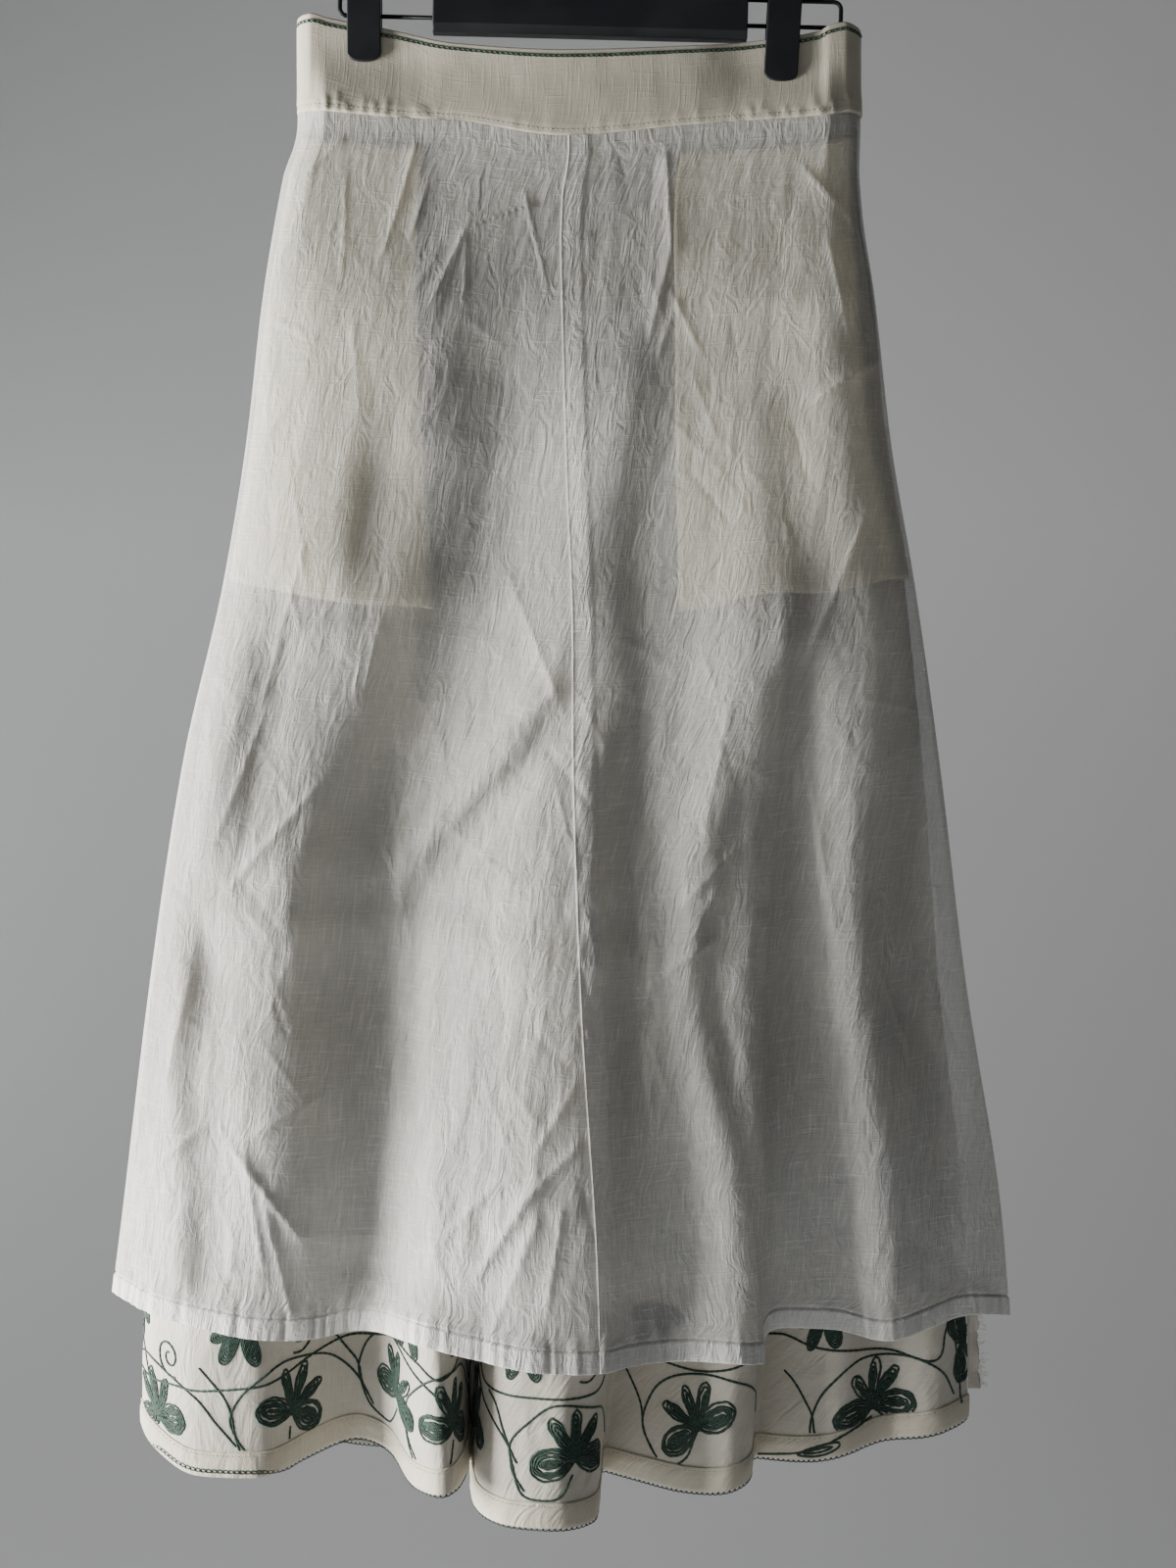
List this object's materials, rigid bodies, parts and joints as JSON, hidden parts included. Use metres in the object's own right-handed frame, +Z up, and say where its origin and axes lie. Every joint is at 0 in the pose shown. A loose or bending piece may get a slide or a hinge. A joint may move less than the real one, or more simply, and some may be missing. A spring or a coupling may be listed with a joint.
{
  "type": "embroidered lined skirt, inside out, on a clip hanger",
  "caption": "Lined A-line skirt with an embroidered border, hung inside out by its waistband from a hanger with two clips.",
  "frame": {"origin": "the inner crown of the hanger's hook, where a rail carries it", "axes": "+Z up, +X to the viewer's right along the waistband, the viewer stands on the -Y side"},
  "size_m": [0.5724, 0.1601, 1.0625],
  "materials": {
    "band": "cream cotton, matt",
    "lining": "thin white cotton voile, partly see-through",
    "skirt": "cream woven cotton, matt",
    "pocket": "cream cotton, matt",
    "black_plastic": "satin black",
    "black_wire": "black lacquer"
  },
  "bodies": {
    "root": {"waistband_front": "band", "waistband_back": "band", "lining_front_left": "lining", "lining_front_right": "lining", "lining_back": "lining", "skirt_front": "skirt", "skirt_back": "skirt", "pocket_bag_left": "pocket", "pocket_bag_right": "pocket", "seam_allowance_right": "skirt", "hanger_bar": "black_plastic", "hanger_hook": "black_wire", "wire_left": "black_wire", "wire_right": "black_wire", "clip_left_front": "black_plastic", "clip_left_back": "black_plastic", "clip_left_pivot": "black_plastic", "clip_right_front": "black_plastic", "clip_right_back": "black_plastic", "clip_right_pivot": "black_plastic"}
  },
  "joints": []
}
